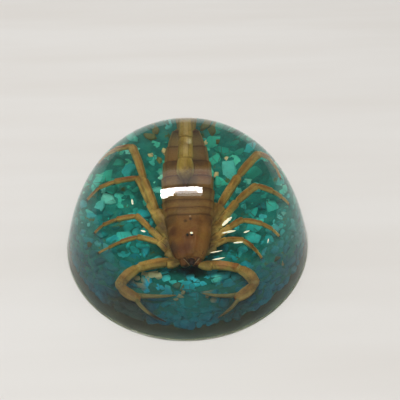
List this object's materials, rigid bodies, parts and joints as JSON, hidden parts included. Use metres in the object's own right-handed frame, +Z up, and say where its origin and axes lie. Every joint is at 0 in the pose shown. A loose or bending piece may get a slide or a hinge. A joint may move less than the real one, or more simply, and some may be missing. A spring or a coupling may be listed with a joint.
{
  "type": "scorpion in a clear resin dome",
  "caption": "Clear resin dome paperweight with a curled scorpion lying on a bed of crushed turquoise stone.",
  "frame": {"origin": "centre of the flat foot, on the surface that the dome stands on", "axes": "+Z up, square to the flat foot and along the dome's height; the scorpion's head points to -Y"},
  "size_m": [0.0698, 0.0698, 0.0322],
  "materials": {
    "clear_resin": "clear, polished",
    "scorpion_cuticle": "dry, golden brown, slightly glossy",
    "turquoise_chips": "crushed turquoise chips, sealed in resin"
  },
  "bodies": {
    "root": {"resin_dome": "clear_resin", "resin_base": "clear_resin", "scorpion": "scorpion_cuticle", "stone_bed": "turquoise_chips"}
  },
  "joints": []
}
